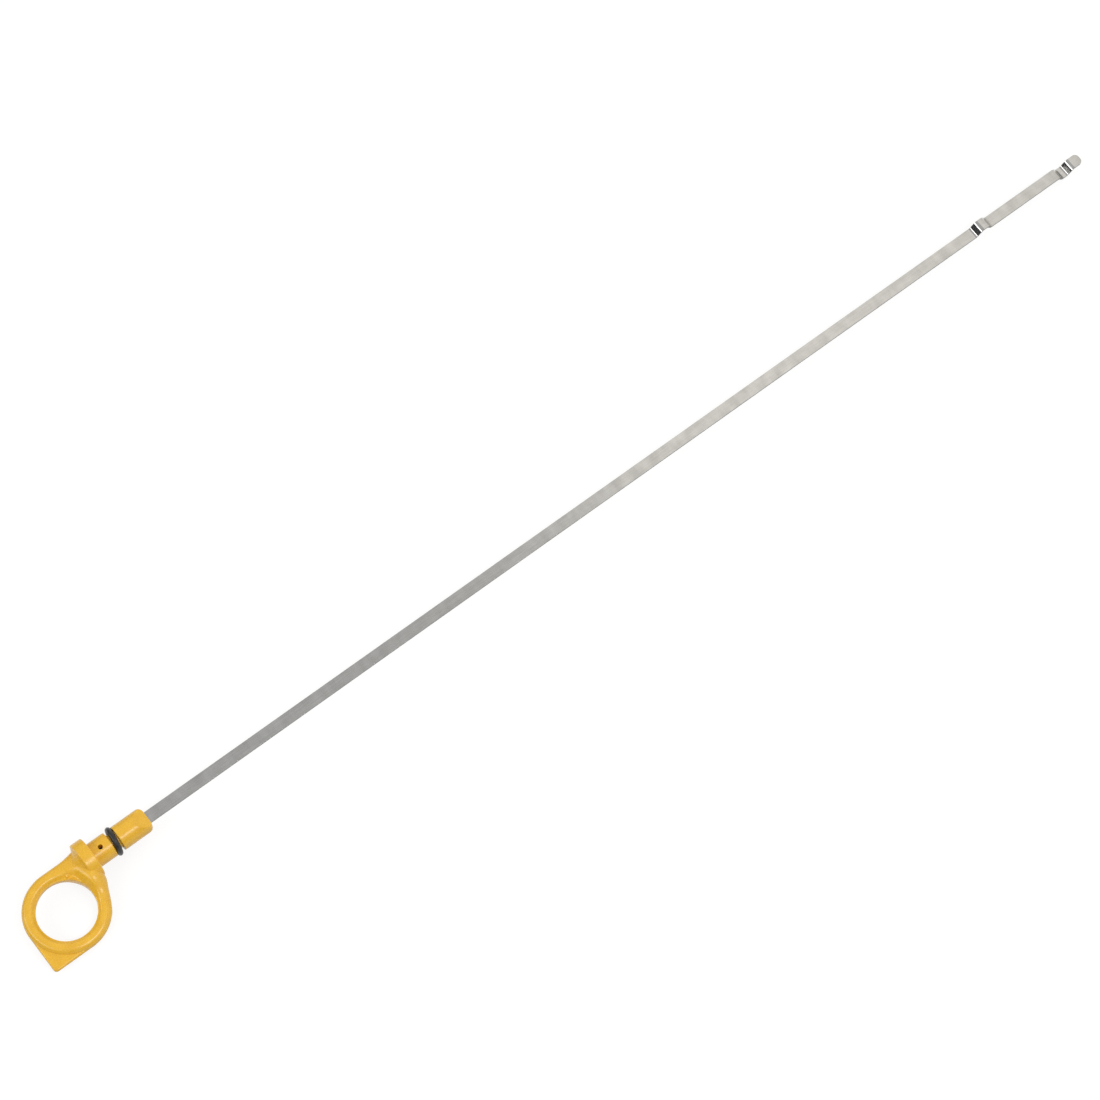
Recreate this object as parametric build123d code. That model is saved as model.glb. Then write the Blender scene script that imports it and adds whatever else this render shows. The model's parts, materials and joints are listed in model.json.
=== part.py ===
from build123d import *
import math
import os

# Engine oil dipstick, in millimetres.
# It is modelled in the frame of the plug: X runs along the plug's axis from the finger loop to the
# tip of the blade, X = 0 is the station of the loop's centre, and the loop lies in the XY plane.
# At the end it is laid down as it comes to rest, on its collar, its loop and its lower level mark.

# Whole dipstick, from the far side of the tab to the tip of the blade
overall_length = 520.0

# Finger loop: a round bar bent into a ring that hangs to one side of the plug's axis
loop_bore = 22.5
loop_bar = 5.1
loop_offset = 11.25

# Square tab that fills one outer corner of the loop
tab_thickness = 1.8
tab_side_inset = 0.03
tab_corner_radius = 1.4
tab_edge_radius = 0.75

# Collar that stops on the mouth of the guide tube
loop_to_collar = 14.6
collar_diameter = 16.1
collar_thickness = 4.75
collar_edge_radius = 0.45

# Neck: the bar of the loop swells into the collar; one side of it is hollow and one is straight.
# The swell is steep, and stands nearer to the straight side. A hollow flare joins it to the collar.
neck_height = 11.6
neck_swell_power = 6.0
neck_swell_lean = 0.72
neck_flare_length = 7.5
neck_flare_foot_diameter = 4.4
neck_hollow_start = 7.0
neck_hollow_radius = 22.0
neck_sections = 12
neck_lead_sections = 2
neck_arc_steps = 6

# Plug: stem, groove for the seal, and barrel
plug_diameter = 10.0
plug_edge_radius = 0.35
stem_length = 7.8
groove_width = 3.3
groove_core_diameter = 7.15
barrel_length = 13.1
barrel_nose_radius = 2.0
wedge_length = 5.9
wedge_end_thickness = 4.5

# Hole that the mould's locating pin leaves over the blade
pin_hole_diameter = 1.9
pin_hole_from_collar = 3.75

# Seal: an O-ring that lies askew in its groove
seal_cord = 2.25
seal_clearance = 0.05

# Blade: one flat strip with two cranked level marks and a rounded tip
blade_width = 4.7
blade_thickness = 0.9
tang_length = 25.5
tang_end_radius = 1.2
tang_hole_diameter = 2.0
tang_hole_from_nose = 8.0
tip_corner_radius = 1.9
mark_pitch = 44.2
tip_after_marks = 12.6
mark_slope_run = 2.35
mark_crest = 2.8
mark_height = 3.0
mark_bend_radius = 1.8

# Stations along the plug's axis
loop_bore_radius = loop_bore / 2
loop_bar_radius = loop_bar / 2
loop_mean_radius = loop_bore_radius + loop_bar_radius
loop_outer_radius = loop_bore_radius + loop_bar
collar_front = loop_to_collar
collar_seat = collar_front + collar_thickness
stem_end = collar_seat + stem_length
groove_end = stem_end + groove_width
nose = groove_end + barrel_length
tip = overall_length - loop_outer_radius
lower_mark = tip - tip_after_marks
upper_mark = lower_mark - mark_pitch

# Radii about the plug's axis
collar_radius = collar_diameter / 2
plug_radius = plug_diameter / 2
groove_core_radius = groove_core_diameter / 2
seal_mean_radius = groove_core_radius + seal_clearance + seal_cord / 2

# Bearings about the loop's centre, in radians from the X axis.
# The neck's hollow side leaves the loop level with the plug's axis, and its straight side runs from
# the seat of the collar to where it touches the loop.
upper_bearing = math.pi / 2
collar_bearing = math.atan2(loop_offset, (collar_front + collar_seat) / 2)
corner_rise = loop_offset - collar_radius
corner_distance = math.hypot(collar_seat, corner_rise)
corner_bearing = math.atan2(corner_rise, collar_seat)
lower_bearing = corner_bearing - math.acos(loop_outer_radius / corner_distance)
bearing_step = (upper_bearing - lower_bearing) / neck_sections


def neck_reach(bearing):
    """Distance from the loop's centre to the outer side of the neck, which ends in the collar."""
    if bearing > upper_bearing or bearing < lower_bearing:
        return loop_outer_radius
    if bearing > collar_bearing:
        past_start = max(loop_outer_radius / math.tan(bearing) - neck_hollow_start, 0)
        side = (loop_outer_radius + past_start**2 / (2 * neck_hollow_radius)) / math.sin(bearing)
    else:
        side = loop_outer_radius / math.cos(bearing - lower_bearing)
    return min(side, (collar_seat - collar_edge_radius) / math.cos(bearing))


def neck_half_height(bearing):
    """Half height of the neck: that of the loop's bar at both ends, and most beside the collar."""
    share = (bearing - lower_bearing) / (upper_bearing - lower_bearing)
    swell = math.sin(math.pi * min(max(share, 0), 1) ** neck_swell_lean) ** neck_swell_power
    return loop_bar_radius + (neck_height / 2 - loop_bar_radius) * swell


def half_oval(half_width, half_height):
    """Upper half of an ellipse, from its outer end over the top to its inner end."""
    turns = [math.pi * index / neck_arc_steps for index in range(neck_arc_steps + 1)]
    points = [(half_width * math.cos(turn), half_height * math.sin(turn)) for turn in turns]
    arc = Spline(points, tangents=[(0, 1), (0, -1)])
    return make_face(arc + Line(points[-1], points[0]))


def ring_section(bearing):
    """Upper half of the ring's section at a bearing about the loop's centre."""
    outward = Vector(math.cos(bearing), math.sin(bearing), 0)
    reach = neck_reach(bearing)
    middle = outward * (loop_bore_radius + reach) / 2 - Vector(0, loop_offset, 0)
    plane = Plane(origin=middle, x_dir=outward, z_dir=(outward.Y, -outward.X, 0))
    return plane * half_oval((reach - loop_bore_radius) / 2, neck_half_height(bearing))


def ring():
    """The finger loop and the neck: a round bar bent into a ring that swells beside the collar."""
    steps = range(-neck_lead_sections, neck_sections + neck_lead_sections + 1)
    bearings = [lower_bearing + step * bearing_step for step in steps]
    neck = loft([ring_section(bearing) for bearing in bearings])
    turn = 2 * math.pi - (bearings[-1] - bearings[0])
    centre_line = Axis((0, -loop_offset, 0), (0, 0, 1))
    bar = revolve(ring_section(bearings[-1]), centre_line, revolution_arc=math.degrees(turn))
    upper_half = neck + bar
    return upper_half + mirror(upper_half, about=Plane.XY)


def tab():
    """Thin square plate in the outer corner of the loop; its sides run out into the loop's side."""
    reach = loop_outer_radius - tab_side_inset
    centre = Vector(-reach / 2, -loop_offset - reach / 2, 0)
    plate = Pos(centre) * Box(reach, reach, tab_thickness)
    corner = plate.edges().filter_by(Axis.Z).sort_by(lambda edge: edge.center().X + edge.center().Y)[0]
    plate = fillet(corner, tab_corner_radius)
    rims = plate.edges().filter_by(lambda edge: edge.center().X + edge.center().Y < centre.X + centre.Y)
    plate = fillet(rims.filter_by(Plane.XY), tab_edge_radius)
    return plate - Pos(0, -loop_offset, 0) * Cylinder(loop_mean_radius, 2 * loop_bar)


def turned(radius, start, end):
    """Cylinder about the plug's axis between two stations."""
    middle = Pos((start + end) / 2, 0, 0)
    return middle * Rot(0, 90, 0) * Cylinder(radius, end - start)


def rim(body, last):
    """Outer edge at the first or the last end of a turned body."""
    edges = body.edges().filter_by(GeomType.CIRCLE).sort_by(Axis.X)
    return edges[-1] if last else edges[0]


def flare():
    """Hollow curve that carries the neck out to the rim of the collar, on a cone inside the neck."""
    top = collar_radius - collar_edge_radius
    foot = neck_flare_foot_diameter / 2
    rise = top - foot
    start = collar_front - neck_flare_length
    radius = (neck_flare_length**2 + rise**2) / (2 * rise)
    curve = RadiusArc((start, foot), (collar_front, top), -radius)
    inside = Polyline((collar_front, top), (collar_front, 0), (start - foot, 0), (start, foot))
    return revolve(make_face(curve + inside), Axis.X)


def wedge_flats(body):
    """Barrel with the two sloping flats that taper its end."""
    start = nose - wedge_length
    beyond = nose + wedge_length
    end_height = wedge_end_thickness / 2
    beyond_height = 2 * end_height - plug_radius
    for side in (1, -1):
        outline = Polyline(
            (start, side * plug_radius),
            (beyond, side * beyond_height),
            (beyond, side * 2 * plug_radius),
            (start, side * 2 * plug_radius),
            (start, side * plug_radius),
        )
        body -= extrude(Plane.XZ * make_face(outline), amount=plug_radius, both=True)
    return body


def plug():
    """Flare, collar, stem, groove core and barrel, all turned about one axis."""
    collar = turned(collar_radius, collar_front, collar_seat)
    collar = fillet([rim(collar, False), rim(collar, True)], collar_edge_radius)
    stem = turned(plug_radius, collar_seat, stem_end)
    stem = fillet(rim(stem, True), plug_edge_radius)
    core = turned(groove_core_radius, stem_end, groove_end)
    barrel = turned(plug_radius, groove_end, nose)
    barrel = fillet(rim(barrel, False), plug_edge_radius)
    barrel = fillet(rim(barrel, True), barrel_nose_radius)
    return flare() + collar + stem + core + wedge_flats(barrel)


def blade():
    """Flat strip: a tang with a round hole, two cranked marks and a rounded tip."""
    tang_end = nose - tang_length
    corners = [(tang_end, 0)]
    for start, height in ((upper_mark, mark_height), (lower_mark, -mark_height)):
        crest_start = start + mark_slope_run
        crest_end = crest_start + mark_crest
        corners += [(start, 0), (crest_start, height), (crest_end, height), (crest_end + mark_slope_run, 0)]
    corners.append((tip, 0))
    path = FilletPolyline(*[(x, 0, z) for x, z in corners], radius=mark_bend_radius)
    section = Plane(origin=path @ 0, x_dir=(0, 1, 0), z_dir=path % 0) * Rectangle(blade_width, blade_thickness)
    strip = sweep(section, path)

    length = tip - tang_end
    plan = Pos((tang_end + tip) / 2, 0) * Rectangle(length, blade_width)
    plan = fillet(plan.vertices().group_by(Axis.X)[0], tang_end_radius)
    plan = fillet(plan.vertices().group_by(Axis.X)[-1], tip_corner_radius)
    plan -= Pos(nose - tang_hole_from_nose, 0) * Circle(tang_hole_diameter / 2)
    reach = mark_height + blade_thickness
    return strip & extrude(plan, amount=reach, both=True)


def handle(insert):
    """One moulding around the tang of the blade, with the pin's hole open down to the tang."""
    body = ring() + tab() + plug()
    depth = plug_radius - blade_thickness / 2
    hole = Pos(collar_seat + pin_hole_from_collar, 0, blade_thickness / 2) * Cylinder(
        pin_hole_diameter / 2, 2 * depth, align=(Align.CENTER, Align.CENTER, Align.MIN)
    )
    return body - insert - hole


def seal_ring():
    """O-ring that leans in its groove until it touches both walls."""
    play = groove_width - seal_cord - 2 * seal_clearance
    lean = math.degrees(math.asin(play / (2 * seal_mean_radius)))
    ring = Rot(0, 90, 0) * Torus(seal_mean_radius, seal_cord / 2)
    return Pos((stem_end + groove_end) / 2, 0, 0) * Rot(0, 0, -lean) * ring


def rest_turn():
    """Rotation that the dipstick comes to rest with on a flat surface.

    It rests on three points: the rim of the collar, the underside of the loop and one edge of the
    lower mark's crest. up is the direction that points upwards then, seen from the plug's frame,
    and depths are measured against it from the origin of that frame.
    """
    bend_reach = mark_bend_radius * math.tan(math.atan2(mark_height, mark_slope_run) / 2)
    crest_end = lower_mark + mark_slope_run + mark_crest - bend_reach
    rim_x = collar_seat - collar_edge_radius
    up_x = 0.0
    up_y = 0.0
    for _ in range(50):
        up_z = math.sqrt(1 - up_x**2 - up_y**2)
        rim_depth = (collar_radius - collar_edge_radius) * math.hypot(up_y, up_z) + collar_edge_radius
        crest_depth = blade_width / 2 * up_y + (mark_height + blade_thickness / 2) * up_z
        up_x = -(rim_depth - crest_depth) / (crest_end - rim_x)
        loop_room = rim_depth - loop_bar_radius - up_x * rim_x
        loop_slack = loop_mean_radius * (math.hypot(up_x, up_y) - up_y)
        up_y = (loop_room - loop_slack) / (loop_offset + loop_mean_radius)
    pitch = math.degrees(math.asin(-up_x))
    roll = math.degrees(math.atan2(up_y, up_z))
    return Rot(0, pitch, 0) * Rot(roll, 0, 0)


def rest_pose(pieces):
    """Location that lays the pieces down, with the origin under the middle of their common box."""
    turn = rest_turn()
    box = Compound([turn * piece for piece in pieces]).bounding_box()
    middle = box.center()
    return Pos(-middle.X, -middle.Y, -box.min.Z) * turn


strip = blade()
pieces = {"handle": handle(strip), "seal_ring": seal_ring(), "blade": strip}
pose = rest_pose(pieces.values())
placed = {name: pose * piece for name, piece in pieces.items()}

os.makedirs("parts", exist_ok=True)
for name, piece in placed.items():
    export_step(piece, f"parts/{name}.step")
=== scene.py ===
"""Engine oil dipstick: finishes its moulded handle, seal ring and steel blade, and sets the stage."""

import json
import math

import bmesh
import bpy
import numpy as np
from bpy.props import FloatProperty, FloatVectorProperty, PointerProperty
from mathutils import Matrix, Vector


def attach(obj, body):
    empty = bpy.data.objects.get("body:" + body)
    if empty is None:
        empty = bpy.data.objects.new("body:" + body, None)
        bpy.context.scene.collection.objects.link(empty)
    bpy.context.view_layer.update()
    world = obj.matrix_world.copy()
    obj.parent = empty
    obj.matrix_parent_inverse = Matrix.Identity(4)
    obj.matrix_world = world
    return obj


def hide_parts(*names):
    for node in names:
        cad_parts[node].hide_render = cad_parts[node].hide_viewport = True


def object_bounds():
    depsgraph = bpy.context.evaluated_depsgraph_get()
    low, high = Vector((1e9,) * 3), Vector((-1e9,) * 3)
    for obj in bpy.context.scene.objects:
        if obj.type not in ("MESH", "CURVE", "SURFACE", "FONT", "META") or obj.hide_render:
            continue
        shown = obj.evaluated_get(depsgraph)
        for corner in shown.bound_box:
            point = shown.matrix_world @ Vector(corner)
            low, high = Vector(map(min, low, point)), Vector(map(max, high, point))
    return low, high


bl_info = {
    "name": "Engine Oil Dipstick",
    "version": (1, 0, 0),
    "blender": (4, 5, 0),
    "location": "3D View > Sidebar > Dipstick",
    "description": "Finishes the moulded handle, the seal ring and the blade of an oil dipstick",
    "category": "Object",
}

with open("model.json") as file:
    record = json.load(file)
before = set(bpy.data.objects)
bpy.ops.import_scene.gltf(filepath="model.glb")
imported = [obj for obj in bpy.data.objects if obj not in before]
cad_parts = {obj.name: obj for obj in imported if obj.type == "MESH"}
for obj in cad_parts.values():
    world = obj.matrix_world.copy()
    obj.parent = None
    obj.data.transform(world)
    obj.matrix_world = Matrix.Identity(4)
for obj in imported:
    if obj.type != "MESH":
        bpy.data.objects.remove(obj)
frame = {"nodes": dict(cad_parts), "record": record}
cad_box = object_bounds()

MM = 0.001


def plug_frame():
    """The plug's own axes: X along it to the blade's tip, Z square to the finger loop, and its seat.

    The record's mounts give them: the barrel on the axis, and a point on the collar's seat straight
    above the axis. The origin is where the axis crosses that seat.
    """
    mounts = {mount["name"]: mount for mount in frame["record"]["mounts"]}
    along = Vector(mounts["plug_barrel"]["axis"]).normalized()
    on_axis = Vector(mounts["plug_barrel"]["pos_m"])
    on_seat = Vector(mounts["collar_seat"]["pos_m"])
    origin = on_axis + along * (on_seat - on_axis).dot(along)
    up = (on_seat - origin).normalized()
    axes = Matrix((along, up.cross(along), up)).transposed()
    return Matrix.Translation(origin) @ axes.to_4x4()


PLUG = plug_frame()
PLUG_AXES = PLUG.to_3x3()
ALONG_BLADE, ACROSS_BLADE, _ = PLUG_AXES.col


def node_points(node):
    """The points of a node in the plug's frame, one row each."""
    to_plug = PLUG.inverted()
    return np.array([to_plug @ vertex.co for vertex in frame["nodes"][node].data.vertices])


def linear(hex_colour):
    """Linear RGBA of an sRGB hex colour such as #EDB83C."""
    channels = [int(hex_colour[place : place + 2], 16) / 255 for place in (1, 3, 5)]
    powered = [c / 12.92 if c <= 0.04045 else ((c + 0.055) / 1.055) ** 2.4 for c in channels]
    return (*powered, 1.0)


def scaled(shade, factor):
    """A linear colour made brighter or darker by a factor."""
    return (*(part * factor for part in shade[:3]), 1.0)


WHITE = linear("#FFFFFF")


def colour(name, description, hex_colour):
    """A colour property whose default is an sRGB hex value."""
    default = linear(hex_colour)
    return FloatVectorProperty(
        name=name, description=description, subtype="COLOR", size=4, min=0, max=1, default=default
    )


def length(name, description, millimetres):
    """A length property whose default is given in millimetres."""
    default = millimetres * MM
    return FloatProperty(
        name=name, description=description, subtype="DISTANCE", unit="LENGTH", min=0, default=default
    )


def angle(name, description, degrees):
    """An angle property whose default is given in degrees."""
    default = math.radians(degrees)
    return FloatProperty(
        name=name, description=description, subtype="ANGLE", unit="ROTATION", default=default
    )


def share(name, description, default):
    """A property from 0 to 1."""
    return FloatProperty(
        name=name, description=description, subtype="FACTOR", min=0, max=1, default=default
    )


def brightness(name, description, default):
    """A brightness property, where 1 is white."""
    return FloatProperty(name=name, description=f"{description}; 1 is white", min=0, default=default)


class MouldedNylon(bpy.types.PropertyGroup):
    """Colours and grain of the handle."""

    pale: colour("Pale", "Yellow where the melt flowed freely", "#E9B735")
    deep: colour("Deep", "Yellow where the melt cooled early", "#E3AF2D")
    flow_size: length("Flow size", "Width of the cloudy patches that the flow of the melt leaves", 3.5)
    flow_depth: length("Flow depth", "How far the patches sink in as the plastic shrinks", 0.015)
    grain_size: length("Grain size", "Size of the grain of the mould, coarse enough to show", 0.5)
    grain_depth: length("Grain depth", "Depth of the grain", 0.003)
    parting_width: length("Parting line width", "Width of the line where the mould's halves meet", 0.25)
    parting_height: length("Parting line height", "How far the line stands out", 0.06)
    smooth_roughness: share("Smooth roughness", "How dull the surface is between the grain", 0.23)
    grain_roughness: share("Grain roughness", "How dull the surface is on the grain", 0.31)


class NitrileRubber(bpy.types.PropertyGroup):
    """Colours and flash of the seal ring."""

    dark: colour("Dark", "Clean rubber", "#1A1A1C")
    dusty: colour("Dusty", "Rubber with a trace of talc or oil on it", "#252527")
    dust_size: length("Dust size", "Width of the duller patches", 1.2)
    grain_size: length("Grain size", "Size of the skin's fine grain, coarse enough to show", 0.35)
    grain_depth: length("Grain depth", "Depth of the grain", 0.008)
    flash_width: length("Flash width", "Width of the line where the mould's halves meet", 0.14)
    flash_height: length("Flash height", "How far the line stands out", 0.05)
    clean_roughness: share("Clean roughness", "How dull the clean rubber is", 0.28)
    dusty_roughness: share("Dusty roughness", "How dull the dusty rubber is", 0.42)


class RolledSteel(bpy.types.PropertyGroup):
    """Colours, grain and pressed shape of the blade."""

    pale: colour("Pale", "Clean rolled steel", "#D4D3D1")
    dull: colour("Dull", "Steel where the rolls left it matt", "#C2C1BF")
    streak: colour("Streak", "Tint of the dark lines of the grain, which multiplies the rest", "#F3F3F2")
    # Slit colour: the rough sheared edges, partly their own dull steel and partly painted shade along the
    # strip's sides.
    slit_and_painted_shade: colour("Slit", "Steel of the sheared edges, which are rough and dark", "#757473")
    # Tang colour is painted shade: the hidden steel is made dark so that the bottom of the pin's hole
    # looks shaded.
    tang_painted_shade: colour("Tang", "Steel inside the moulding, dulled by the hot plastic", "#3A3836")
    painted_shade_reach: length("Tang reach", "From the collar's seat to the end of the dulled steel", 24.0)
    cloud_size: length("Cloud size", "Length of the matt patches", 4.5)
    grain_width: length("Grain width", "Width of the rolling lines, coarse enough to show", 0.5)
    grain_length: length("Grain length", "Length of the rolling lines", 9.0)
    grain_depth: length("Grain depth", "Depth of the rolling lines", 0.002)
    pale_roughness: share("Pale roughness", "How dull the clean steel is", 0.135)
    dull_roughness: share("Dull roughness", "How dull the matt steel is", 0.165)
    slit_roughness: share("Slit roughness", "How dull the sheared edges are", 0.45)
    edge_radius: length("Edge radius", "Radius of the deburred edges of the strip", 0.2)
    tip_radius: length("Tip radius", "Corner radius of the tip", 1.9)
    tip_after_marks: length("Tip after marks", "From the start of the last mark to the tip", 12.6)
    mark_pitch: length("Mark pitch", "From one level mark to the next", 44.2)
    mark_slope: length("Mark slope", "Length along the blade of each slope of a mark", 2.35)
    mark_crest: length("Mark crest", "Length of the flat between the slopes", 2.8)
    mark_height: length("Mark height", "How far a mark stands out of the strip", 3.0)
    bend_radius: length("Bend radius", "Radius of the bends of a mark, at the middle of the strip", 1.8)


class Studio(bpy.types.PropertyGroup):
    """Camera, lamps, room and floor."""

    camera_distance: length("Camera distance", "From the point that it looks at", 1255.0)
    camera_azimuth: angle("Camera azimuth", "Where it stands; 0 looks along +Y", -29.817)
    camera_elevation: angle("Camera elevation", "How high it stands above the floor", 58.848)
    camera_turn: angle("Camera turn", "About its own line of sight", -9.489)
    lens: FloatProperty(name="Lens", description="Focal length in millimetres", min=1, default=107.967)
    key_level: brightness("Key level", "Brightness of the strip lamp in front of the dipstick", 7.4)
    fill_level: brightness("Fill level", "Brightness of the wide lamp behind the loop", 3.1)
    ceiling: colour("Ceiling", "Light from above", "#C9C9C9")
    bright_side: colour("Bright side", "Tint of the light from the side that the tip points to", "#FFFCF6")
    high_level: brightness("High level", "Brightness of that side high up", 1.12)
    horizon_level: brightness("Horizon level", "Brightness of that side near the horizon", 0.9)
    dark_side: colour("Dark side", "Light from low down, and from behind the finger loop", "#343538")
    paper: colour("Paper", "The floor as it lights the dipstick", "#A8A8A8")
    shadow_share: share("Shadow share", "How much of the floor's shade the eye sees", 0.2)


COLOUR_MIX = {"data_type": "RGBA"}
TINT_MIX = {"data_type": "RGBA", "blend_type": "MULTIPLY"}

# Range that nearly all of the noise lies in, which is stretched to 0 to 1.
NOISE_LOW = 0.3
NOISE_HIGH = 0.7


def add_node(tree, kind, settings=None, inputs=None):
    """Adds a node with its settings and links; an input is a value, a node or a node's output."""
    node = tree.nodes.new(kind)
    for name, value in (settings or {}).items():
        setattr(node, name, value)
    for name, value in (inputs or {}).items():
        socket = node.inputs[name] if isinstance(name, int) else usable(node.inputs, name)
        if isinstance(value, bpy.types.Node):
            tree.links.new(first_output(value), socket)
        elif isinstance(value, bpy.types.NodeSocket):
            tree.links.new(value, socket)
        else:
            socket.default_value = value
    return node


def usable(sockets, name):
    """The socket of that name that the node's settings leave in use."""
    return next(socket for socket in sockets if socket.name == name and socket.enabled)


def first_output(node):
    """The first output that the node's settings leave in use."""
    return next(socket for socket in node.outputs if socket.enabled)


def new_material(name):
    """A node material with nothing in it yet, and its tree."""
    material = bpy.data.materials.new(name)
    material.use_nodes = True
    material.node_tree.nodes.clear()
    return material, material.node_tree


def plug_place(tree, cell):
    """Place on the part along the plug's axes, counted in cells of that length, width and height."""
    place = add_node(tree, "ShaderNodeTexCoord").outputs["Object"]
    return add_node(
        tree,
        "ShaderNodeMapping",
        {"vector_type": "TEXTURE"},
        {"Vector": place, "Location": PLUG.translation, "Rotation": PLUG.to_euler(), "Scale": cell},
    )


def speckle(tree, cell, detail=2.0):
    """Noise with features of that length, width and height, spread over the range from 0 to 1."""
    place = plug_place(tree, cell)
    noise = add_node(tree, "ShaderNodeTexNoise", inputs={"Vector": place, "Scale": 1.0, "Detail": detail})
    spread = {"Value": noise, "From Min": NOISE_LOW, "From Max": NOISE_HIGH}
    return add_node(tree, "ShaderNodeMapRange", inputs=spread)


# Nylon lets a little light in: red furthest, blue least.
NYLON_IOR = 1.53
NYLON_DEPTH_SHARE = 0.1
NYLON_DEPTH_COLOURS = (1.0, 0.55, 0.15)
NYLON_DEPTH = 0.5 * MM


def moulded_nylon(look):
    """Filled nylon from a spark-eroded mould: satin yellow, faintly cloudy where the melt flowed.

    The grain of such a mould is about 0.05 mm across, and is drawn ten times as coarse to show.
    """
    material, tree = new_material("moulded_nylon")
    flow = speckle(tree, [look.flow_size] * 3)
    grain = speckle(tree, [look.grain_size] * 3, detail=3.0)
    half_lines = plug_place(tree, [look.parting_width / 2] * 3)
    height = add_node(tree, "ShaderNodeSeparateXYZ", inputs={"Vector": half_lines}).outputs["Z"]
    away = add_node(tree, "ShaderNodeMath", {"operation": "ABSOLUTE"}, {0: height})
    line = add_node(tree, "ShaderNodeMapRange", inputs={"Value": away, "To Min": 1.0, "To Max": 0.0})
    bump = add_node(tree, "ShaderNodeBump", inputs={"Height": flow, "Distance": look.flow_depth})
    for relief, depth in ((grain, look.grain_depth), (line, look.parting_height)):
        over = {"Height": relief, "Distance": depth, "Normal": bump}
        bump = add_node(tree, "ShaderNodeBump", inputs=over)
    yellow = add_node(tree, "ShaderNodeMix", COLOUR_MIX, {"Factor": flow, "A": look.deep, "B": look.pale})
    gloss = {"Value": grain, "To Min": look.smooth_roughness, "To Max": look.grain_roughness}
    shader = add_node(
        tree,
        "ShaderNodeBsdfPrincipled",
        inputs={
            "Base Color": yellow,
            "Roughness": add_node(tree, "ShaderNodeMapRange", inputs=gloss),
            "IOR": NYLON_IOR,
            "Subsurface Weight": NYLON_DEPTH_SHARE,
            "Subsurface Radius": NYLON_DEPTH_COLOURS,
            "Subsurface Scale": NYLON_DEPTH,
            "Normal": bump,
        },
    )
    add_node(tree, "ShaderNodeOutputMaterial", inputs={"Surface": shader})
    return material


RUBBER_IOR = 1.52


def nitrile_rubber(look):
    """Moulded nitrile rubber: near black with a soft sheen, duller in patches where dust clings.

    The grain of its skin is about 0.05 mm across, and is drawn seven times as coarse to show.
    """
    material, tree = new_material("nitrile_rubber")
    dust = speckle(tree, [look.dust_size] * 3, detail=3.0)
    grain = speckle(tree, [look.grain_size] * 3)
    black = add_node(tree, "ShaderNodeMix", COLOUR_MIX, {"Factor": dust, "A": look.dark, "B": look.dusty})
    gloss = {"Value": dust, "To Min": look.clean_roughness, "To Max": look.dusty_roughness}
    shader = add_node(
        tree,
        "ShaderNodeBsdfPrincipled",
        inputs={
            "Base Color": black,
            "Roughness": add_node(tree, "ShaderNodeMapRange", inputs=gloss),
            "IOR": RUBBER_IOR,
            "Normal": add_node(
                tree, "ShaderNodeBump", inputs={"Height": grain, "Distance": look.grain_depth}
            ),
        },
    )
    add_node(tree, "ShaderNodeOutputMaterial", inputs={"Surface": shader})
    return material


# How far a face turns from flat to sideways where the sheared edge begins, and where it is all edge; the
# edge's dark colour is partly painted shade.
SLIT_AND_SHADE_FROM = 0.15
SLIT_AND_SHADE_FULL = 0.5


def rolled_steel(look):
    """Cold rolled steel strip: bare and cloudy, with fine lines along it, and sheared edges that are rough
    and darkened with painted shade.

    Rolling lines are about 0.05 mm apart, and are drawn ten times as coarse to show. The tang in
    the moulding is painted dark, a painted shade at the bottom of the pin's hole.
    """
    material, tree = new_material("rolled_steel")
    clouds = speckle(tree, [look.cloud_size, 2 * look.cloud_size, 2 * look.cloud_size], detail=3.0)
    lines = speckle(tree, [look.grain_length, look.grain_width, look.grain_length])
    dips = add_node(tree, "ShaderNodeMapRange", inputs={"Value": lines, "To Min": 1.0, "To Max": 0.0})
    grey = add_node(tree, "ShaderNodeMix", COLOUR_MIX, {"Factor": clouds, "A": look.dull, "B": look.pale})
    rolled = add_node(tree, "ShaderNodeMix", TINT_MIX, {"Factor": dips, "A": grey, "B": look.streak})
    facing = add_node(tree, "ShaderNodeNewGeometry").outputs["True Normal"]
    turned = add_node(
        tree, "ShaderNodeVectorMath", {"operation": "DOT_PRODUCT"}, {0: facing, 1: ACROSS_BLADE}
    )
    sideways = add_node(tree, "ShaderNodeMath", {"operation": "ABSOLUTE"}, {0: turned.outputs["Value"]})
    turn_range = {"Value": sideways, "From Min": SLIT_AND_SHADE_FROM, "From Max": SLIT_AND_SHADE_FULL}
    # Faces turned sideways take the slit colour: rough sheared steel plus painted shade along the strip's
    # edges.
    edge = add_node(tree, "ShaderNodeMapRange", inputs=turn_range)
    steel_with_edge_shade = add_node(tree, "ShaderNodeMix", COLOUR_MIX, {"Factor": edge, "A": rolled, "B": look.slit_and_painted_shade})
    # Steel within the tang reach of the collar's seat takes the tang's painted shade.
    reaches = plug_place(tree, [look.painted_shade_reach] * 3)
    along = add_node(tree, "ShaderNodeSeparateXYZ", inputs={"Vector": reaches}).outputs["X"]
    hidden = add_node(tree, "ShaderNodeMath", {"operation": "LESS_THAN"}, {0: along, 1: 1.0})
    rolled_gloss = {"Value": clouds, "To Min": look.dull_roughness, "To Max": look.pale_roughness}
    gloss = {
        "Value": edge,
        "To Min": add_node(tree, "ShaderNodeMapRange", inputs=rolled_gloss),
        "To Max": look.slit_roughness,
    }
    shader = add_node(
        tree,
        "ShaderNodeBsdfPrincipled",
        inputs={
            "Base Color": add_node(
                tree, "ShaderNodeMix", COLOUR_MIX, {"Factor": hidden, "A": steel_with_edge_shade, "B": look.tang_painted_shade}
            ),
            "Metallic": 1.0,
            "Roughness": add_node(tree, "ShaderNodeMapRange", inputs=gloss),
            "Normal": add_node(
                tree, "ShaderNodeBump", inputs={"Height": lines, "Distance": look.grain_depth}
            ),
        },
    )
    add_node(tree, "ShaderNodeOutputMaterial", inputs={"Surface": shader})
    return material


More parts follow.
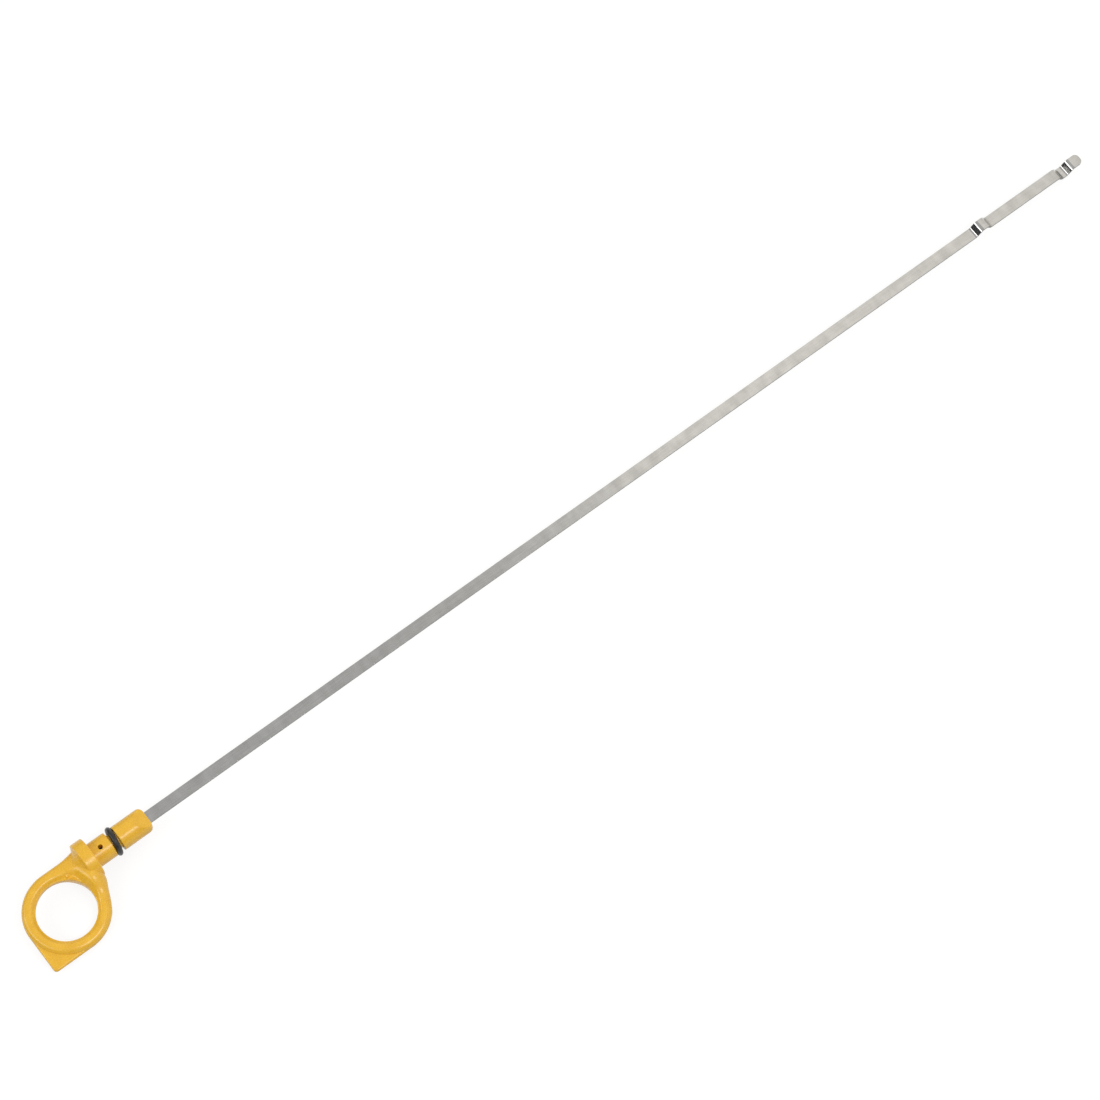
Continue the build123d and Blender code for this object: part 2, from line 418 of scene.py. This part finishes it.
def new_piece(name, points, faces, material, node):
    """A piece from points in the plug's frame that stands for one node and rides on the one body."""
    shape = bmesh.new()
    corners = [shape.verts.new(PLUG @ Vector(point)) for point in points]
    for face in faces:
        shape.faces.new([corners[corner] for corner in face])
    bmesh.ops.recalc_face_normals(shape, faces=shape.faces)
    mesh = bpy.data.meshes.new(name)
    shape.to_mesh(mesh)
    shape.free()
    mesh.materials.append(material)
    mesh.shade_smooth()
    piece = bpy.data.objects.new(name, mesh)
    bpy.context.scene.collection.objects.link(piece)
    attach(piece, "root")
    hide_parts(node)
    return piece


def band(rows, closed):
    """Faces between rows of points, each row a closed loop; closed joins the last row to the first."""
    count = len(rows[0])
    points = [point for row in rows for point in row]
    faces = []
    for row in range(len(rows) if closed else len(rows) - 1):
        start = row * count
        following = (row + 1) % len(rows) * count
        for place in range(count):
            beyond = (place + 1) % count
            faces.append((start + place, following + place, following + beyond, start + beyond))
    if not closed:
        faces.append(tuple(range(count)))
        faces.append(tuple(range(len(points) - count, len(points))))
    return points, faces


RING_STEPS = 192
CORD_STEPS = 96


def seal_ring_rows(look):
    """Sections of the O-ring: a round cord with a low line of flash where the mould's halves met."""
    points = node_points("seal_ring")
    centre = (points.max(axis=0) + points.min(axis=0)) / 2
    spread = points - centre
    axis = np.linalg.svd(spread, full_matrices=False)[2][2]
    out = np.linalg.norm(spread - np.outer(spread @ axis, axis), axis=1)
    mean_radius = (out.max() + out.min()) / 2
    skin_radius = (out.max() - out.min()) / 2 - look.flash_height
    side = np.cross(axis, (0, 0, 1))
    side /= np.linalg.norm(side)
    across = np.cross(axis, side)
    rows = []
    for step in range(RING_STEPS):
        bearing = 2 * math.pi * step / RING_STEPS
        outward = side * math.cos(bearing) + across * math.sin(bearing)
        row = []
        for cord_step in range(CORD_STEPS):
            turn = 2 * math.pi * cord_step / CORD_STEPS
            half_widths = 2 * math.sin(turn) * skin_radius / look.flash_width
            radius = skin_radius + look.flash_height * math.exp(-(half_widths**2))
            middle = centre + outward * (mean_radius + radius * math.cos(turn))
            row.append(middle + axis * (radius * math.sin(turn)))
        rows.append(row)
    return rows


BEND_STEPS = 10
TIP_STEPS = 16


def bent_line(corners, radius):
    """Places and headings along a line through corners in the XZ plane, with each corner rounded."""
    headings = [math.atan2(b[1] - a[1], b[0] - a[0]) for a, b in zip(corners, corners[1:])]
    stations = [(*corners[0], headings[0])]
    for (x, z), arriving, leaving in zip(corners[1:], headings, headings[1:]):
        turn = leaving - arriving
        setback = radius * math.tan(abs(turn) / 2)
        curl = math.copysign(radius, turn)
        start_x = x - setback * math.cos(arriving)
        start_z = z - setback * math.sin(arriving)
        for step in range(BEND_STEPS + 1):
            heading = arriving + turn * step / BEND_STEPS
            along = start_x + curl * (math.sin(heading) - math.sin(arriving))
            rise = start_z + curl * (math.cos(arriving) - math.cos(heading))
            stations.append((along, rise, heading))
    return stations


def blade_rows(look):
    """Sections of the strip from its end in the handle, over its two level marks, round its tip."""
    low = node_points("blade").min(axis=0)
    high = node_points("blade").max(axis=0)
    tip = high[0]
    half_width = (high[1] - low[1]) / 2
    half_thickness = high[2] - look.mark_height
    lower_mark = tip - look.tip_after_marks
    upper_mark = lower_mark - look.mark_pitch
    corners = [(low[0], 0)]
    for start, height in ((upper_mark, look.mark_height), (lower_mark, -look.mark_height)):
        crest = start + look.mark_slope
        end = crest + look.mark_crest
        corners += [(start, 0), (crest, height), (end, height), (end + look.mark_slope, 0)]
    corners.append((tip, 0))
    sections = [(*station, half_width) for station in bent_line(corners, look.bend_radius)]
    for step in range(TIP_STEPS + 1):
        turn = math.pi / 2 * step / TIP_STEPS
        drawn_in = look.tip_radius * (1 - math.cos(turn))
        sections.append((tip - look.tip_radius * (1 - math.sin(turn)), 0, 0, half_width - drawn_in))
    rows = []
    for x, z, heading, half in sections:
        lean = half_thickness * math.sin(heading)
        rise = half_thickness * math.cos(heading)
        row = []
        for face in (1, -1):
            for edge in (-face, face):
                row.append((x - face * lean, edge * half, z + face * rise))
        rows.append(row)
    return rows


SHARP_ANGLE = math.radians(40)
EDGE_STEPS = 3


def deburr(piece, radius):
    """Eases the sharp edges of a piece, and keeps its flats flat to the eye."""
    bevel = piece.modifiers.new("eased_edges", "BEVEL")
    bevel.limit_method = "ANGLE"
    bevel.angle_limit = SHARP_ANGLE
    bevel.width = radius
    bevel.segments = EDGE_STEPS
    flats = piece.modifiers.new("flat_faces", "WEIGHTED_NORMAL")
    flats.mode = "FACE_AREA"


class DIPSTICK_OT_handle(bpy.types.Operator):
    """Gives the moulded handle its nylon"""

    bl_idname = "dipstick.handle"
    bl_label = "Finish Handle"

    def execute(self, context):
        mesh = frame["nodes"]["handle"].data
        mesh.materials.clear()
        mesh.materials.append(moulded_nylon(context.scene.dipstick_nylon))
        return {"FINISHED"}


class DIPSTICK_OT_seal_ring(bpy.types.Operator):
    """Makes the rubber seal ring that leans in its groove"""

    bl_idname = "dipstick.seal_ring"
    bl_label = "Make Seal Ring"

    def execute(self, context):
        look = context.scene.dipstick_rubber
        points, faces = band(seal_ring_rows(look), closed=True)
        new_piece("moulded_seal_ring", points, faces, nitrile_rubber(look), "seal_ring")
        return {"FINISHED"}


class DIPSTICK_OT_blade(bpy.types.Operator):
    """Makes the steel blade with its cranked level marks"""

    bl_idname = "dipstick.blade"
    bl_label = "Make Blade"

    def execute(self, context):
        look = context.scene.dipstick_steel
        points, faces = band(blade_rows(look), closed=False)
        blade = new_piece("rolled_blade", points, faces, rolled_steel(look), "blade")
        deburr(blade, look.edge_radius)
        return {"FINISHED"}


CAMERA_AIM = Vector((-0.0172, 0.00243, 0.008))
CAMERA_REACH = 50


def place_camera(studio):
    """Camera at the photograph's viewing angle, turned a little about its line of sight."""
    level = math.cos(studio.camera_elevation)
    back = Vector(
        (
            math.sin(studio.camera_azimuth) * level,
            -math.cos(studio.camera_azimuth) * level,
            math.sin(studio.camera_elevation),
        )
    )
    right = Vector((0, 0, 1)).cross(back).normalized()
    axes = Matrix((right, back.cross(right), back)).transposed().to_4x4()
    turn = Matrix.Rotation(studio.camera_turn, 4, "Z")
    data = bpy.data.cameras.new("camera")
    data.lens = studio.lens
    data.clip_end = CAMERA_REACH
    camera = bpy.data.objects.new("camera", data)
    camera.matrix_world = Matrix.Translation(CAMERA_AIM + back * studio.camera_distance) @ axes @ turn
    bpy.context.scene.collection.objects.link(camera)
    bpy.context.scene.camera = camera


# Each lamp has a direction in the plug's frame, and how long and wide it looks from the dipstick.
LAMP_DISTANCE = 3.0
KEY_TOWARD = (0.1, -0.43, 0.9)
KEY_SPREAD = (math.radians(30), math.radians(13))
FILL_TOWARD = (-0.795, 0.25, 0.555)
FILL_SPREAD = (math.radians(17), math.radians(60))


def soft_box(name, lamp_toward, spread, level, middle):
    """Soft lamp in a direction of the plug's frame, whose surface is as bright as level says."""
    direction = (PLUG_AXES @ Vector(lamp_toward)).normalized()
    data = bpy.data.lights.new(name, "AREA")
    data.shape = "RECTANGLE"
    data.size = 2 * LAMP_DISTANCE * math.tan(spread[0] / 2)
    data.size_y = 2 * LAMP_DISTANCE * math.tan(spread[1] / 2)
    data.energy = level * math.pi * data.size * data.size_y
    lamp = bpy.data.objects.new(name, data)
    across = direction.cross(ALONG_BLADE).normalized()
    axes = Matrix((across.cross(direction), across, direction)).transposed().to_4x4()
    lamp.matrix_world = Matrix.Translation(middle + direction * LAMP_DISTANCE) @ axes
    bpy.context.scene.collection.objects.link(lamp)


# Cosines of the angles between which one part of the room passes into the next: the bright side
# begins and is full, it fades to its horizon, behind the loop it is dark, and so it is low down.
BRIGHT = (0.265, 0.29)
FADED = (0.3, 0.55)
BEHIND = (0.86, 0.91)
LOW = (-0.34, -0.22)


def toward(tree, aim, cosines):
    """Share that grows from 0 to 1 as the direction in the room turns towards an aim."""
    direction = add_node(tree, "ShaderNodeTexCoord").outputs["Generated"]
    cosine = add_node(tree, "ShaderNodeVectorMath", {"operation": "DOT_PRODUCT"}, {0: direction, 1: aim})
    return add_node(
        tree,
        "ShaderNodeMapRange",
        {"interpolation_type": "SMOOTHSTEP"},
        {"Value": cosine.outputs["Value"], "From Min": cosines[0], "From Max": cosines[1]},
    )


def light_room(studio):
    """World: a plain room, bright past the tip, and dim low down and behind the finger loop."""
    world = bpy.data.worlds.new("studio_room")
    bpy.context.scene.world = world
    world.use_nodes = True
    tree = world.node_tree
    tree.nodes.clear()
    high_side = scaled(studio.bright_side, studio.high_level)
    low_side = scaled(studio.bright_side, studio.horizon_level)
    faded = toward(tree, ALONG_BLADE, FADED)
    side = add_node(tree, "ShaderNodeMix", COLOUR_MIX, {"Factor": faded, "A": high_side, "B": low_side})
    shade = studio.ceiling
    layers = (
        (toward(tree, Vector((0, 0, -1)), LOW), studio.dark_side),
        (toward(tree, ALONG_BLADE, BRIGHT), side),
        (toward(tree, -ALONG_BLADE, BEHIND), studio.dark_side),
    )
    for where, light in layers:
        shade = add_node(tree, "ShaderNodeMix", COLOUR_MIX, {"Factor": where, "A": shade, "B": light})
    surface = add_node(tree, "ShaderNodeBackground", inputs={"Color": shade})
    add_node(tree, "ShaderNodeOutputWorld", inputs={"Surface": surface})


# What a white floor sends back where nothing shades it.
OPEN_FLOOR = 0.85


def matt_paper(studio):
    """Matt paper that lights the dipstick gently, and that the eye sees white with a soft shadow."""
    material, tree = new_material("matt_paper")
    plain = add_node(tree, "ShaderNodeBsdfDiffuse", inputs={"Color": studio.paper})
    shadow = add_node(tree, "ShaderNodeBsdfDiffuse", inputs={"Color": scaled(WHITE, studio.shadow_share)})
    glow_level = 1 - studio.shadow_share * OPEN_FLOOR
    glow = add_node(tree, "ShaderNodeEmission", inputs={"Color": WHITE, "Strength": glow_level})
    seen = add_node(tree, "ShaderNodeAddShader", inputs={0: shadow, 1: glow})
    rays = add_node(tree, "ShaderNodeLightPath").outputs
    direct = rays["Is Camera Ray"]
    for ray in ("Is Glossy Ray", "Is Transmission Ray"):
        direct = add_node(tree, "ShaderNodeMath", {"operation": "MAXIMUM"}, {0: direct, 1: rays[ray]})
    surface = add_node(tree, "ShaderNodeMixShader", inputs={0: direct, 1: plain, 2: seen})
    add_node(tree, "ShaderNodeOutputMaterial", inputs={"Surface": surface})
    return material


FLOOR_RADIUS = 4.0
FLOOR_SIDES = 96


def lay_floor(studio):
    """A wide round sheet of paper that the dipstick lies on."""
    shape = bmesh.new()
    bmesh.ops.create_circle(shape, cap_ends=True, segments=FLOOR_SIDES, radius=FLOOR_RADIUS)
    mesh = bpy.data.meshes.new("floor")
    shape.to_mesh(mesh)
    shape.free()
    mesh.materials.append(matt_paper(studio))
    floor = bpy.data.objects.new("floor", mesh)
    bpy.context.scene.collection.objects.link(floor)


class DIPSTICK_OT_stage(bpy.types.Operator):
    """Lays the floor, and sets the lamps, the room and the camera"""

    bl_idname = "dipstick.stage"
    bl_label = "Set Stage"

    def execute(self, context):
        studio = context.scene.dipstick_studio
        context.scene.view_settings.view_transform = "Standard"
        lay_floor(studio)
        light_room(studio)
        middle = (cad_box[0] + cad_box[1]) / 2
        soft_box("key", KEY_TOWARD, KEY_SPREAD, studio.key_level, middle)
        soft_box("fill", FILL_TOWARD, FILL_SPREAD, studio.fill_level, middle)
        place_camera(studio)
        return {"FINISHED"}


class DIPSTICK_PT_finish(bpy.types.Panel):
    """Lists what makes the dipstick, with the sizes and colours of each piece"""

    bl_idname = "DIPSTICK_PT_finish"
    bl_label = "Engine Oil Dipstick"
    bl_space_type = "VIEW_3D"
    bl_region_type = "UI"
    bl_category = "Dipstick"

    def draw(self, context):
        for operator, group in STEPS:
            column = self.layout.box().column()
            column.operator(operator.bl_idname)
            settings = getattr(context.scene, group)
            for name in settings.bl_rna.properties.keys():
                if name not in ("rna_type", "name"):
                    column.prop(settings, name)


GROUPS = {
    "dipstick_nylon": MouldedNylon,
    "dipstick_rubber": NitrileRubber,
    "dipstick_steel": RolledSteel,
    "dipstick_studio": Studio,
}
STEPS = (
    (DIPSTICK_OT_handle, "dipstick_nylon"),
    (DIPSTICK_OT_seal_ring, "dipstick_rubber"),
    (DIPSTICK_OT_blade, "dipstick_steel"),
    (DIPSTICK_OT_stage, "dipstick_studio"),
)
CLASSES = (*GROUPS.values(), *(operator for operator, _ in STEPS), DIPSTICK_PT_finish)


def register():
    for each in CLASSES:
        bpy.utils.register_class(each)
    for name, group in GROUPS.items():
        setattr(bpy.types.Scene, name, PointerProperty(type=group))


def unregister():
    for name in GROUPS:
        delattr(bpy.types.Scene, name)
    for each in reversed(CLASSES):
        bpy.utils.unregister_class(each)


def main():
    register()
    bpy.ops.dipstick.handle()
    bpy.ops.dipstick.seal_ring()
    bpy.ops.dipstick.blade()
    bpy.ops.dipstick.stage()


if __name__ == "__main__":
    main()
